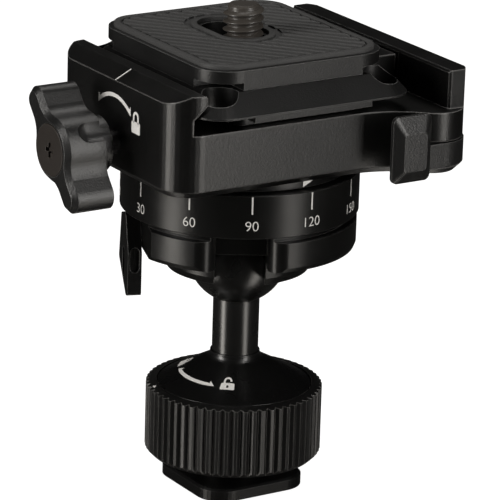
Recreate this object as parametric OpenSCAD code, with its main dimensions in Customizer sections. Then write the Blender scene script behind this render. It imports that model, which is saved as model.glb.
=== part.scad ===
// Reverse ball head: shoe foot, ball joint, panning quick-release clamp and plate.
// Millimetres, +Z up. The origin is on the stem's axis, at the bottom of the foot.
// X runs across the jaws, Y along them, and the front of the clamp faces -Y.

/* [Foot and collar] */
// Width of the square foot
foot_w = 18.6; // [17:0.1:20]
// Thickness of the foot
foot_t = 2; // [1.6:0.1:2.4]
// Corner radius of the foot
foot_r = 4.4; // [3:0.1:6]
// Open height between the foot and the pressure washer
shoe_gap = 2; // [1.6:0.1:2.4]
// Diameter of the neck between the rails of a shoe
neck_d = 11.4; // [10.8:0.1:12]
// Outer diameter of the knurled collar
collar_d = 28.2; // [27:0.1:30]
// Height of the collar
collar_h = 11.7; // [11:0.1:12.4]
// Teeth round the collar
collar_teeth = 60; // [40:2:72]
// Depth of the teeth
tooth_h = 0.55; // [0.3:0.05:0.8]

/* [Cap, stem and ball] */
// Diameter of the cap's rim
cap_d = 24.4; // [23:0.1:24.8]
// Height of the cap's cone
cone_h = 4.25; // [3.4:0.05:5]
// Diameter of the stem
stem_d = 7.4; // [6.8:0.1:7.6]
// Diameter of the ball
ball_d = 16; // [15.4:0.1:16.4]
// Height of the ball's centre
ball_z = 38; // [37.6:0.1:42]

/* [Ball socket] */
// Diameter of the socket housing
housing_d = 37.2; // [36:0.1:37.6]
// Height of the housing's outer band
housing_h = 5; // [4.4:0.1:5.2]
// Bottom of the housing above the ball's centre
housing_rise = 2.2; // [1.9:0.1:2.4]
// Diameter of the retaining ring
retainer_d = 23.6; // [23:0.1:26]
// Drop of the retaining ring below the ball's centre
retainer_drop = 2.2; // [1.6:0.1:2.4]
// Width of the drop slot
slot_w = 8; // [8:0.1:9]
// Angle from the drop slot back to the lock lever
lock_from_slot = 80; // [75:1:90]

/* [Panning] */
// How far the scale ring stands out from the housing
ring_proud = 0.25; // [0.1:0.05:0.6]
// Height of the scale ring
ring_h = 7; // [6.6:0.1:7.2]
// Groove between the housing and the scale ring
groove_h = 1; // [0.8:0.1:1.4]
// Scale reading under the pointer
pan_reading = 120; // [0:5:355]
// Diameter of the turret under the clamp
turret_d = 34.8; // [33:0.1:36]
// Diameter of the pan spindle
spindle_d = 14; // [13:0.1:15]

/* [Clamp] */
// Reach of the clamp to the left of the pan axis
left_x = 23; // [22.6:0.1:24.5]
// Reach of the right wall
right_x = 27.6; // [27.2:0.1:28.2]
// Half length of the left jaw and the front face
front_y = 18.5; // [18:0.1:20]
// Half length of the right wall above the floor
wall_y = 22.6; // [21.6:0.1:23]
// Half length of the right end below the floor
end_y = 24.2; // [23.6:0.1:24.8]
// Corner radius of the right end
end_r = 5; // [4:0.1:6]
// Thickness of the right wall
wall_t = 4.15; // [3.9:0.05:4.5]
// Height from the clamp's bottom to its floor
floor_h = 9.95; // [9.8:0.05:10.6]
// Height of the jaws above the floor
jaw_h = 6.1; // [5.9:0.05:6.6]
// Radius of the hollow between the front face and the right wall
sweep_r = 14.5; // [13:0.1:16]
// Width of the bevel round the clamp's bottom
clamp_bevel = 1.1; // [0.4:0.1:1.1]

/* [Levers and knob] */
// Swing of the release lever, in degrees
lever_swing = 45; // [30:1:45]
// Travel of the movable jaw
jaw_travel = 2.1; // [1.6:0.1:2.2]
// Width of the release lever's finger tab
tab_w = 7; // [6:0.1:8]
// Height of the finger tab
tab_h = 10.6; // [9:0.1:11]
// Tip radius of the knob's lobes, from the axis
knob_r = 10.6; // [9:0.1:11]
// Length of the knob along its axis
knob_l = 8.6; // [7.6:0.1:9.4]
// Lean of the knob's lobes from upright, in degrees
knob_lean = 40; // [0:5:90]
// Thickness of the lock lever's paddle
paddle_t = 2.2; // [1.8:0.1:2.6]

/* [Plate] */
// Dovetail width of the plate
plate_w = 38; // [37.4:0.1:38.4]
// Length of the plate over its end flanges
plate_l = 42.4; // [40:0.1:44]
// Offset of the plate to the left
plate_shift = 0.2; // [0:0.1:0.6]
// Thickness of the rubber pad
pad_t = 0.7; // [0.5:0.1:1]
// Height of the camera screw above the pad
screw_out = 4.6; // [3.8:0.1:5.5]
// Slide of the camera screw in its slot
screw_slide = 6; // [3:0.5:7]

/* [Fits] */
// Radial clearance of a shaft or pin in its bore
run_fit = 0.05; // [0.03:0.01:0.08]
// Clearance between parts that pass each other
gap = 0.3; // [0.2:0.05:0.35]
// Radial clearance of a pin pressed into its hole
press_fit = 0.02; // [0.01:0.01:0.04]

/* [Hidden] */
$fn = 64;
hull_fn = 40;

// Overlap of joined forms, overrun of a cut, a length past every piece, and play at a pin's end
e = 0.01;
over = 1;
past = 3 * plate_l;
end_play = 0.1;

// Base heights
collar_z = foot_t + shoe_gap + 1;
washer_t = 0.6;
washer_r = 10.2;
stud_d = 10;
stud_top = collar_z + 5.5;
collar_top = collar_z + collar_h;
cap_z = collar_top - 1.5;
cap_rim = 1.45;
cone_z = cap_z + cap_rim;
stem_z = stud_top + 2.6;
cap_hub_r = 6;
recess_z = cap_z - 0.2;
foot_screw_r = 2;
foot_head_r = 3.6;
foot_head_h = 1.5;
foot_sink = 0.2;
hex_d = 2.9;
hex_depth = 0.9;
cap_thread = 2.1;
foot_chamfer = 0.35;
collar_bevel = 0.8;
collar_top_bevel = 0.4;
collar_crown = 1.2;
tooth_crest = 0.5;
washer_play = 0.1;
cap_play = 0.2;
cone_lip = 0.6;
lip_t = 0.25;
lip_fillet = 1.4;

// Ball socket, heights from the ball's centre
ball_r = ball_d / 2;
shoe_in = ball_r + run_fit + 0.01;
shoe_out = ball_r + 1.15;
shoe_half = 36;
cavity_r = shoe_out + gap;
housing_z = ball_z + housing_rise;
groove_z = housing_z + housing_h;
ring_z = groove_z + groove_h;
ring_top = ring_z + ring_h;
ring_r = housing_d / 2 + ring_proud;
spigot_r = housing_d / 2 - 3.6;
spigot_top = ball_z + 13;
groove_r = housing_d / 2 - 1.2;
retainer_round = 1.6;
retainer_edge = 0.5;
housing_round = 0.9;
housing_edge = 0.25;
seat_top = 1.5;
thread_r = 10.8;
thread_top = 4.9;
slot_top = stem_d / 2 + gap;
slot_back = 13.4;
slot_round = 2.4;
edge = 0.15;
slot_turn = 90 - pan_reading;
lock_dir = 270 - lock_from_slot;

// Lock lever
flat_r = housing_d / 2 - 2.75;
paddle_in = flat_r + gap;
paddle_out = paddle_in + paddle_t;
lock_z = ball_z + 4.7;
lock_screw_r = 2;
lock_tip = cavity_r + 2.2;
brake_in = sqrt(pow(cavity_r, 2) - pow(lock_z - ball_z - 2, 2)) + gap;
groove_half = 0.85;
groove_depth = 0.4;
groove_high = 3.8;
groove_low = 7.2;
paddle_side = 4;
side_slot_half = 0.75;
side_slot_depth = 0.5;
side_slot_high = 2.85;
side_slot_low = 5.35;
screw_end = 0.7;

// Panning
spindle_r = spindle_d / 2;
spindle_top = ball_z + 24;
turret_z = ring_top + 0.25;
turret_t = 1;
turret_low = spigot_top + 1.05;
turret_low_r = spigot_r - 0.4;
pan_washer_t = 0.9;
keeper_r = 9.2;
keeper_t = 1;
keeper_play = 0.2;
keeper_bore = keeper_r + 0.4;
screw_head_r = 3.6;
screw_head_h = 1.15;
spindle_thread = 2.8;
turret_bolt_r = 1.25;
turret_head_r = 2.2;
turret_bolt_ring = 11.2;
turret_bolt_turn = 30;
turret_head_h = 1;
bolt_grip = 3.5;

// Clamp
clamp_z = turret_z + turret_t;
floor_z = clamp_z + floor_h;
jaw_top = floor_z + jaw_h;
wall_in = right_x - wall_t;
end_x = right_x - end_r;
end_c = end_y - end_r;
sweep_y = front_y + sweep_r;
sweep_lap = 0.04;
sweep_x = end_x - sqrt(pow(sweep_r + end_r - sweep_lap, 2) - pow(sweep_y - end_c, 2));
corner_r = 5;
wall_edge = 0.35;

// Plate, from the clamp's floor
plate_x = -plate_shift;
plate_z = floor_z + 0.15;
flange_w = plate_w / 2;
flange_l = plate_l / 2;
flange_z = floor_z + 1.65;
slope_z = flange_z + 1.2;
slope_h = 3.1;
block_z = slope_z + slope_h;
slab_z = block_z + 1.15;
slab_t = 1.9;
slab_top = slab_z + slab_t;
pad_top = slab_top + pad_t;
slab_w = plate_w - 5.6;
slab_l = plate_l - 7;
slab_r = 5.5;
pad_edge = 0.8;
pad_in = 0.6;
keel_w = plate_w - 15.4;
keel_l = plate_l - 8.8;
cross_x = slab_w / 2 - slab_r;
cross_y = slab_l / 2 - slab_r;
strap_r = 2.8;
strap_x = flange_w - 4.6;
strap_y = flange_l - 4.4;
plate_r = 5;
rim_t = 0.25;
tongue_w = 21;
tongue_in = 0.3;
side_l = 24.8;

// Dovetail of the jaws, parallel to the plate's 45 degree flank
flank = flange_w - slope_h + block_z + 0.21;
lip_reach = flange_w - 1.5;
lip_z = flank - lip_reach;
lip_left = plate_x - lip_reach;
lip_right = plate_x + lip_reach;
under_left = plate_x - flange_w - 0.6;
under_right = plate_x + flange_w + 0.35;

// Movable jaw and its drive
jaw_half = 8;
jaw_back = wall_in - gap;
tongue_x = 12;
tongue_z = floor_z - 3.6;
tongue_top = floor_z - 0.2;
movable_top = jaw_top - 0.75;
pivot_x = 22.6;
pivot_y = 13.5;
pivot_r = 1.25;
cam_offset = 3;
cam_start = -135;
cam_r = 0.9;
cam_play = 0.35;
cam_x = pivot_x + cam_offset * cos(cam_start);
cam_y = pivot_y + cam_offset * sin(cam_start);
cam_end_y = pivot_y + cam_offset * sin(cam_start + lever_swing);
ear_z = floor_z - 2.9;
ear_top = floor_z - 0.8;
ear_end = 13.8;
pivot_z = clamp_z + 0.3;
pivot_top = ear_z - 1;
ear_w = 4.2;
guide_r = 1;
guide_y = 6;
guide_z = floor_z - 2;
guide_x0 = tongue_x - 2.2;
guide_x1 = right_x - 0.7;

// Release lever
lever_z = clamp_z + 1.35;
lever_h = 3.8;
lever_play = 0.2;
hub_r = 4;
arm_proud = 0.2;
arm_out = right_x + arm_proud;
arm_bend = end_r + arm_proud;
arm_t = 2.2;
web_end = 2;
web_l = 1;
arm_front = end_y + arm_proud;
tab_x0 = 11.6;
tab_t = 1.8;
tab_base = 0.6;
tab_round = 1;
tab_flat_r = 0.6;
tab_side = 1.4;
tab_end = 2.3;
tab_drop = 0.3;
tab_back = end_y + gap;
tab_z = clamp_z;
cam_pin_z = lever_z + 1.05;

// Pan lock knob
knob_z = ball_z + 21.4;
knob_x0 = -left_x - 2.6;
knob_x1 = knob_x0 - knob_l;
lobe_r = 2.2;
hub_knob_r = 5.2;
wing_fillet = 3.6;
knob_edge = 0.8;
knob_neck = 1.6;
neck_in = 0.8;
scoop_r = 2.4;
scoop_out = 6.6;
scoop_in = 2.2;
lock_shaft_r = 1.8;
pan_tip = -10.25;
shaft_end = 1.6;
pad_play = 0.25;
pad_lift = 0.12;
disc_r = 4.05;
disc_t = 0.9;
disc_pin_r = 1.2;
cross_w = 0.7;
cross_l = 2.4;
cross_deep = 0.5;

// Camera screw
cam_screw_r = 6.35 / 2;
screw_neck_r = 2.6;
slot_half = cam_screw_r + gap;
head_r = 5;
head_slot = head_r + 0.4;
shoulder_z = slab_z - 1.5;
clip_t = 0.7;

// Rounded rectangle, centred
module rounded(w, l, r) {
    square([w - 2 * r, l], center = true);
    square([w, l - 2 * r], center = true);
    for (x = [-1, 1], y = [-1, 1])
        translate([x * (w / 2 - r), y * (l / 2 - r)]) circle(r);
}

// Rounded slab whose lower or upper edge is bevelled
module bevelled(w, l, r, h, low = 0, high = 0) {
    hull() {
        translate([0, 0, low]) linear_extrude(h - low - high) rounded(w, l, r, $fn = hull_fn);
        linear_extrude(e) rounded(w - 2 * low, l - 2 * low, r - low, $fn = hull_fn);
        translate([0, 0, h - e])
            linear_extrude(e) rounded(w - 2 * high, l - 2 * high, r - high, $fn = hull_fn);
    }
}

// Straight slot with round ends along Y, from y0 to y1 on its centre line
module round_slot(half, y0, y1, z0, z1) {
    translate([-half, y0, z0]) cube([2 * half, y1 - y0, z1 - z0]);
    for (y = [y0, y1]) translate([0, y, z0]) cylinder(r = half, h = z1 - z0);
}

// Upright cylinder between two heights
module post(r, z0, z1) {
    translate([0, 0, z0]) cylinder(r = r, h = z1 - z0);
}

// Rod along X between two places
module rod_x(r, x0, x1) {
    translate([x0, 0, 0]) rotate([0, 90, 0]) cylinder(r = r, h = x1 - x0);
}

// XZ outline drawn out along Y, centred
module along_y(half) {
    translate([0, half, 0]) rotate([90, 0, 0]) linear_extrude(2 * half) children();
}

// The housing's own frame: its drop slot points to -Y there
module in_housing() {
    rotate([0, 0, slot_turn]) children();
}

// The lock lever's frame: X points outward along its screw
module in_lock() {
    in_housing() rotate([0, 0, lock_dir]) translate([0, 0, lock_z]) children();
}

// The pan lock's frame: X along its shaft
module in_knob() {
    translate([0, 0, knob_z]) children();
}

// Foot and base

module shoe_foot() {
    color("#1b1b1c") difference() {
        union() {
            bevelled(foot_w, foot_w, foot_r, foot_t, high = foot_chamfer);
            post(neck_d / 2, foot_t - e, collar_z - gap);
            post(stud_d / 2, foot_t, stud_top);
        }
        post(foot_screw_r + run_fit, -over, stud_top + over);
        post(foot_head_r + run_fit, -over, foot_head_h + foot_sink);
    }
}

module foot_screw() {
    color("#3a3a3c") difference() {
        union() {
            post(foot_head_r, foot_sink, foot_head_h + foot_sink);
            post(foot_screw_r, foot_head_h, stud_top + cap_thread);
        }
        translate([0, 0, foot_sink - e]) cylinder(d = hex_d, h = hex_depth, $fn = 6);
    }
}

module pressure_washer() {
    color("#6b6b6e") difference() {
        post(washer_r, foot_t + shoe_gap, foot_t + shoe_gap + washer_t);
        post(neck_d / 2 + washer_play, 0, collar_z);
    }
}

// Teeth with flat crests and V grooves between them
module collar_teeth_outline() {
    step = 360 / collar_teeth;
    crest = tooth_crest / collar_d * 180 / PI;
    tip = collar_d / 2;
    polygon([for (i = [0 : collar_teeth - 1], p = [[-crest, tip], [crest, tip], [step / 2, tip - tooth_h]])
        p[1] * [cos(i * step + p[0]), sin(i * step + p[0])]]);
}

module clamp_collar() {
    r = collar_d / 2 + e;
    color("#161617") difference() {
        intersection() {
            translate([0, 0, collar_z]) linear_extrude(collar_h) collar_teeth_outline();
            rotate_extrude() polygon([[0, collar_z], [r - collar_bevel, collar_z],
                [r, collar_z + collar_bevel], [r, collar_top - collar_top_bevel],
                [r - collar_crown, collar_top], [0, collar_top]]);
        }
        post(stud_d / 2 + run_fit, 0, collar_top);
        post(neck_d / 2 + gap, 0, collar_z + gap);
        post(cap_hub_r + gap, stud_top - gap, collar_top);
        post(cap_d / 2 + cap_play, recess_z, collar_top + over);
    }
}

module base_cap() {
    lip_r = stem_d / 2 + lip_t;
    slope = atan2(cone_h, cap_d / 2 - stem_d / 2 - cone_lip);
    centre_r = lip_r + lip_fillet;
    centre_z = cone_z + (lip_fillet + (cap_d / 2 - centre_r) * sin(slope)) / cos(slope);
    fillet = [for (i = [4 : -1 : 0]) [centre_r, centre_z]
        - lip_fillet * [cos(i * (90 - slope) / 4), sin(i * (90 - slope) / 4)]];
    color("#101011") difference() {
        union() {
            post(cap_hub_r, stud_top + end_play, cap_z + e);
            rotate_extrude() polygon(concat([[0, cap_z], [cap_d / 2, cap_z], [cap_d / 2, cone_z]],
                fillet, [[0, centre_z]]));
        }
        post(stem_d / 2 + run_fit, stem_z - end_play, centre_z + over);
        post(foot_screw_r + run_fit, stud_top, stud_top + cap_thread + end_play);
    }
}

// Ball and stem, one turned piece
module ball_stem() {
    color("#151516") {
        translate([0, 0, ball_z]) sphere(ball_r);
        post(stem_d / 2, stem_z, ball_z);
    }
}

// Ball socket

module pressure_shoe() {
    color("#8d8d90") translate([0, 0, ball_z]) intersection() {
        difference() {
            sphere(shoe_out);
            sphere(shoe_in);
        }
        cylinder(r1 = 0, r2 = (shoe_out + over) * tan(shoe_half), h = shoe_out + over);
    }
}

// Cut that lets the stem drop to the level
module drop_cut(top) {
    translate([-slot_w / 2, -past, -past]) cube([slot_w, past, past + top]);
}

module retaining_ring() {
    r = retainer_d / 2;
    color("#121213") in_housing() translate([0, 0, ball_z]) difference() {
        union() {
            rotate_extrude() polygon([[0, -retainer_drop], [r - retainer_round, -retainer_drop],
                [r - retainer_edge, retainer_edge - retainer_drop], [r, retainer_round - retainer_drop],
                [r, housing_rise], [0, housing_rise]]);
            post(thread_r, housing_rise - e, thread_top);
        }
        sphere(shoe_in);
        intersection() {
            sphere(cavity_r);
            post(past, seat_top, past);
        }
        drop_cut(slot_top);
        rotate([0, 0, lock_dir]) translate([0, 0, lock_z - ball_z]) rod_x(lock_screw_r + run_fit, 0, past);
    }
}

// Outer part of the drop slot, with round upright edges
module slot_mouth() {
    half = slot_w / 2;
    cx = half + slot_round;
    centre_r = housing_d / 2 - slot_round;
    cy = sqrt(pow(centre_r, 2) - pow(cx, 2));
    clear_r = housing_d / 2 + 2 * over;
    out = clear_r / centre_r;
    translate([-half, -past, 0]) square([slot_w, past - slot_back]);
    for (side = [-1, 1])
        difference() {
            polygon([[side * (half - e), -cy], [side * cx, -cy], [side * cx * out, -cy * out],
                [side * half, -clear_r - over]]);
            translate([side * cx, -cy]) circle(slot_round);
        }
}

module socket_housing() {
    r = housing_d / 2;
    color("#141415") {
        difference() {
            union() {
                rotate_extrude() polygon([[0, housing_z], [r - housing_round, housing_z],
                    [r - housing_edge, housing_z + housing_edge], [r, housing_z + housing_round],
                    [r, groove_z - edge], [r - edge, groove_z], [0, groove_z]]);
                post(groove_r, groove_z - e, ring_z);
                post(spigot_r, ring_z - e, spigot_top);
            }
            translate([0, 0, ball_z]) sphere(cavity_r);
            post(thread_r + run_fit, 0, ball_z + thread_top + end_play);
            post(foot_screw_r + run_fit, spigot_top - spindle_thread - end_play, spigot_top + over);
            in_housing() {
                translate([0, 0, ball_z]) drop_cut(slot_top);
                translate([0, 0, housing_z - over]) linear_extrude(ring_z - housing_z + over) slot_mouth();
            }
            in_lock() {
                translate([flat_r, -past / 2, housing_z - lock_z - over])
                    cube([past, past, ring_z - housing_z + over]);
                rod_x(lock_screw_r + run_fit, 0, past);
            }
        }
    }
}

module scale_ring() {
    bore_r = spigot_r + run_fit;
    color("#1d1d1e") rotate_extrude() polygon([[bore_r, ring_z], [ring_r - edge, ring_z],
        [ring_r, ring_z + edge], [ring_r, ring_top - edge], [ring_r - edge, ring_top], [bore_r, ring_top]]);
}

// Ball lock

// Paddle outline seen from outside: x runs to the drop slot's side, y is up from the screw
module paddle_outline() {
    r = 0.8;
    tail = paddle_side - r;
    hull() for (p = [[-1.8, 1.4], [0.7, 2.2], [tail, -3], [tail, -9.2], [2.6, -9.3], [-3.1, -5.3]])
        translate(p) circle(r, $fn = hull_fn);
}

module lock_lever() {
    color("#232324") in_lock() difference() {
        translate([paddle_in, 0, 0]) rotate([90, 0, 90]) linear_extrude(paddle_t) paddle_outline();
        rod_x(lock_screw_r + run_fit, flat_r, paddle_out - screw_end);
        translate([paddle_out - groove_depth, 0, 0]) rotate([90, 0, 90])
            round_slot(groove_half, -groove_low, -groove_high, 0, over);
        translate([(paddle_in + paddle_out) / 2, paddle_side - side_slot_depth, 0])
            rotate([90, 0, 0]) mirror([0, 0, 1])
                round_slot(side_slot_half, -side_slot_low, -side_slot_high, 0, over);
    }
}

module lock_screw() {
    color("#77777a") in_lock() rod_x(lock_screw_r, lock_tip, paddle_out - screw_end - run_fit);
}

module ball_brake_pad() {
    color("#b08d4a") in_lock() rod_x(lock_screw_r - end_play, brake_in, lock_tip - gap);
}

// Pan joint

module pan_washer() {
    color("#d9d6cd") difference() {
        post(turret_low_r, spigot_top + press_fit, spigot_top + pan_washer_t);
        post(spindle_r + gap, 0, past);
    }
}

module pan_spindle() {
    color("#8a8a8d") difference() {
        post(spindle_r, spigot_top + e, spindle_top);
        post(foot_screw_r + run_fit, 0, past);
    }
}

module spindle_washer() {
    color("#707073") difference() {
        post(keeper_r, spindle_top, spindle_top + keeper_t);
        post(foot_screw_r + run_fit, 0, past);
    }
}

module spindle_screw() {
    color("#4a4a4d") difference() {
        union() {
            post(foot_screw_r, spigot_top - spindle_thread, spindle_top + keeper_t + e);
            post(screw_head_r, spindle_top + keeper_t, spindle_top + keeper_t + screw_head_h);
        }
        translate([0, 0, spindle_top + keeper_t + screw_head_h - hex_depth])
            cylinder(d = hex_d, h = hex_depth + over, $fn = 6);
    }
}

module turret_bolt_places() {
    for (a = [0 : 120 : 240])
        rotate([0, 0, a + turret_bolt_turn]) translate([turret_bolt_ring, 0, 0]) children();
}

module pan_turret() {
    color("#1a1a1b") difference() {
        union() {
            post(turret_low_r, turret_low, turret_z + e);
            post(turret_d / 2, turret_z, clamp_z);
        }
        post(spindle_r + run_fit, 0, past);
        turret_bolt_places() {
            post(turret_bolt_r + run_fit, 0, past);
            post(turret_head_r + run_fit, 0, turret_low + turret_head_h + end_play);
        }
    }
}

module turret_screws() {
    color("#4a4a4d") turret_bolt_places() {
        post(turret_head_r, turret_low + end_play, turret_low + turret_head_h + end_play);
        post(turret_bolt_r, turret_low + turret_head_h, clamp_z + bolt_grip);
    }
}

// Clamp

// Section of the clamp across its jaws
module clamp_section() {
    top_slope = 1.55 / 3.1;
    strip = 2.4;
    slope_x = lip_left - strip;
    left = left_x + over;
    right = right_x + over;
    polygon([[-left, clamp_z - over], [right, clamp_z - over], [right, jaw_top - wall_edge - over],
        [right_x - wall_edge, jaw_top], [wall_in + wall_edge, jaw_top],
        [wall_in, jaw_top - wall_edge], [wall_in, floor_z], [under_left, floor_z],
        [under_left, lip_z - (lip_left - under_left)], [lip_left, lip_z], [lip_left, jaw_top - wall_edge],
        [lip_left - wall_edge, jaw_top], [slope_x, jaw_top], [-left, jaw_top - (left + slope_x) * top_slope]]);
}

// Round end of the clamp's right side, bevelled at the bottom
module round_end(h) {
    translate([end_x, end_c, clamp_z]) rotate_extrude()
        polygon([[0, 0], [end_r - clamp_bevel, 0], [end_r, clamp_bevel], [end_r, h], [0, h]]);
}

// Flank between the front face and a round end: a hollow that runs smoothly into it
module hollow_flank(h) {
    difference() {
        translate([0, 0, clamp_z]) linear_extrude(h)
            polygon([[sweep_x, 0], [end_x, 0], [end_x, end_c], [sweep_x, sweep_y]]);
        translate([sweep_x, sweep_y, 0]) post(sweep_r, 0, past);
        translate([sweep_x, sweep_y, clamp_z - e])
            cylinder(r1 = sweep_r + clamp_bevel, r2 = sweep_r, h = clamp_bevel);
    }
}

// Plan of the clamp, drawn up to the top of the jaws
module clamp_plan() {
    h = floor_h + jaw_h + over;
    main_r = end_x - over;
    translate([(main_r - left_x) / 2, 0, clamp_z])
        bevelled(main_r + left_x, 2 * front_y, corner_r, h, low = clamp_bevel);
    translate([0, 0, clamp_z]) along_y(end_c)
        polygon([[end_x - corner_r, 0], [right_x - clamp_bevel, 0], [right_x, clamp_bevel], [right_x, h],
            [end_x - corner_r, h]]);
    for (side = [0, 1]) mirror([0, side, 0]) {
        round_end(h);
        hollow_flank(h);
    }
}

// Room that the release lever swings in
module lever_room() {
    z0 = lever_z - lever_play;
    h = lever_h + 2 * lever_play;
    translate([pivot_x, pivot_y, 0]) post(hub_r + gap, z0, z0 + h);
    translate([0, 0, z0]) linear_extrude(h) hull() {
        translate([pivot_x, pivot_y]) circle(hub_r + gap, $fn = hull_fn);
        translate([arm_out - arm_t - gap, web_end - gap]) square([arm_t, web_l]);
    }
    translate([arm_out - arm_t - 2 * gap, -past, z0]) cube([past, past + pivot_y, h]);
    translate([pivot_x + hub_r - over, pivot_y - over, z0]) cube([past, hub_r - over / 2, h]);
    translate([tab_x0 + hub_r, -past, z0]) cube([past, past - arm_front + arm_t + 2 * gap, h]);
    intersection() {
        translate([end_x, -end_c, 0]) difference() {
            post(arm_bend + over, z0, z0 + h);
            post(arm_bend - arm_t - 2 * gap, 0, past);
        }
        translate([end_x, -end_c - past, z0]) cube([past, past, h]);
    }
}

// Room for the movable jaw, its tongue and its ear
module jaw_room() {
    side = jaw_half + gap;
    reach = jaw_back + jaw_travel + gap;
    translate([tongue_x - gap, -side, tongue_z - gap])
        cube([reach - tongue_x + gap, 2 * side, movable_top + lever_play - tongue_z + gap]);
    translate([cam_x - ear_w / 2 - gap, 0, ear_z - lever_play])
        cube([ear_w + 2 * gap + jaw_travel, ear_end + gap, floor_z - ear_z + over]);
}

// Arc that the cam pin sweeps through the ledge above the lever
module cam_track() {
    hull() for (a = [0, 0.5, 1])
        translate([pivot_x, pivot_y, lever_z + lever_h])
            rotate([0, 0, cam_start + a * lever_swing]) translate([cam_offset, 0, 0])
                cylinder(r = cam_r + gap, h = ear_z - lever_z - lever_h, $fn = hull_fn);
}

module clamp_body() {
    color("#18181a") difference() {
        intersection() {
            clamp_plan();
            along_y(past) clamp_section();
        }
        post(spindle_r + run_fit, 0, past);
        post(keeper_bore, spindle_top - keeper_play, past);
        turret_bolt_places() post(turret_bolt_r + run_fit, 0, clamp_z + bolt_grip + end_play);
        in_knob() rod_x(lock_shaft_r + run_fit, -past, 0);
        lever_room();
        jaw_room();
        cam_track();
        translate([pivot_x, pivot_y, 0]) post(pivot_r + press_fit, pivot_z - end_play, pivot_top + end_play);
        for (side = [0, 1]) mirror([0, side, 0]) {
            translate([0, wall_y, floor_z]) cube(past);
            translate([wall_in, wall_y, floor_z])
                linear_extrude(jaw_h + over) rotate([0, 0, 45]) square(wall_edge * sqrt(2), center = true);
        }
        for (y = [-guide_y, guide_y])
            translate([0, y, guide_z]) rod_x(guide_r + press_fit, guide_x0, guide_x1 + end_play);
    }
}

module pan_brake_pad() {
    color("#b08d4a") in_knob() difference() {
        rod_x(lock_shaft_r, pan_tip + pad_play, -spindle_r);
        post(spindle_r + pad_lift, -past, past);
    }
}

module pan_lock_screw() {
    color("#606063") in_knob() rod_x(lock_shaft_r, knob_x1 + shaft_end, pan_tip);
}

// Rod along X from x = 0, where its edge is chamfered
module edged_rod(r, l) {
    rotate([0, 90, 0]) rotate_extrude()
        polygon([[0, 0], [r - knob_edge, 0], [r, knob_edge], [r, l], [0, l]]);
}

// Wing along X: a round hub, two lobes up and down, and hollow fillets between them
module wing(l) {
    span = knob_r - lobe_r;
    side_y = lobe_r + wing_fillet;
    side_z = sqrt(pow(hub_knob_r + wing_fillet, 2) - pow(side_y, 2));
    edged_rod(hub_knob_r, l);
    for (z = [-1, 1]) translate([0, 0, z * span]) edged_rod(lobe_r, l);
    translate([0, 0, -span]) linear_extrude(2 * span)
        polygon([[0, knob_edge - lobe_r], [0, lobe_r - knob_edge], [knob_edge, lobe_r], [l, lobe_r],
            [l, -lobe_r], [knob_edge, -lobe_r]]);
    for (y = [-1, 1], z = [-1, 1]) difference() {
        rotate([90, 0, 90]) linear_extrude(l)
            polygon([[0, 0], [y * side_y, z * side_z], [0, z * side_z]]);
        translate([0, y * side_y, z * side_z]) {
            rod_x(wing_fillet + e, -over, l + over);
            rotate([0, 90, 0]) cylinder(r1 = wing_fillet + knob_edge + e, r2 = wing_fillet + e, h = knob_edge);
        }
    }
}

module pan_knob() {
    wing_l = knob_l - knob_neck;
    color("#2a2a2b") in_knob() difference() {
        union() {
            rod_x(hub_knob_r - neck_in, knob_x0 - knob_neck - e, knob_x0);
            translate([knob_x1, 0, 0]) rotate([-knob_lean, 0, 0]) wing(wing_l);
        }
        rod_x(lock_shaft_r + run_fit, knob_x1 + shaft_end - end_play, 0);
        rod_x(disc_r + end_play, knob_x1 - over, knob_x1 + disc_t);
        rod_x(disc_pin_r + run_fit, knob_x1, knob_x1 + shaft_end);
        for (side = [-1, 1]) rotate([-knob_lean, 0, 0]) translate([0, side * scoop_out, 0]) {
            translate([knob_x1 + scoop_in + scoop_r, 0, 0]) sphere(scoop_r);
            rod_x(scoop_r, knob_x1 + scoop_in + scoop_r, knob_x0 + over);
        }
    }
}

module knob_cap_screw() {
    color("#2b2422") in_knob() difference() {
        union() {
            rod_x(disc_r, knob_x1 - end_play, knob_x1 + disc_t - run_fit);
            rod_x(disc_pin_r, knob_x1 + disc_t - end_play, knob_x1 + shaft_end - 2 * end_play);
        }
        for (a = [0, 90])
            rotate([a, 0, 0]) translate([knob_x1 - over, -cross_w / 2, -cross_l / 2])
                cube([over + cross_deep, cross_w, cross_l]);
    }
}

module movable_jaw() {
    color("#18181a") difference() {
        union() {
            along_y(jaw_half) polygon([[tongue_x, tongue_z], [jaw_back, tongue_z], [jaw_back, movable_top],
                [lip_right, movable_top], [lip_right, lip_z], [under_right, lip_z - (under_right - lip_right)],
                [under_right, tongue_top], [tongue_x, tongue_top]]);
            translate([cam_x - ear_w / 2, jaw_half - over, ear_z])
                cube([ear_w, ear_end - jaw_half + over, ear_top - ear_z]);
        }
        for (y = [-guide_y, guide_y])
            translate([0, y, guide_z]) rod_x(guide_r + run_fit, 0, past);
        translate([cam_x, 0, 0])
            round_slot(cam_r + cam_play, cam_end_y - end_play, cam_y + end_play, ear_z - over, ear_top + over);
    }
}

module jaw_guide_pins() {
    color("#8a8a8d") for (y = [-guide_y, guide_y])
        translate([0, y, guide_z]) rod_x(guide_r, guide_x0 + end_play, guide_x1);
}

// Finger tab, with a raised flat that slopes away on all sides
module finger_tab() {
    hull() {
        linear_extrude(tab_base) rounded(tab_w, tab_h, tab_round, $fn = hull_fn);
        translate([0, -tab_drop, 0]) linear_extrude(tab_t)
            rounded(tab_w - 2 * tab_side, tab_h - 2 * tab_end, tab_flat_r, $fn = hull_fn);
    }
}

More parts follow.
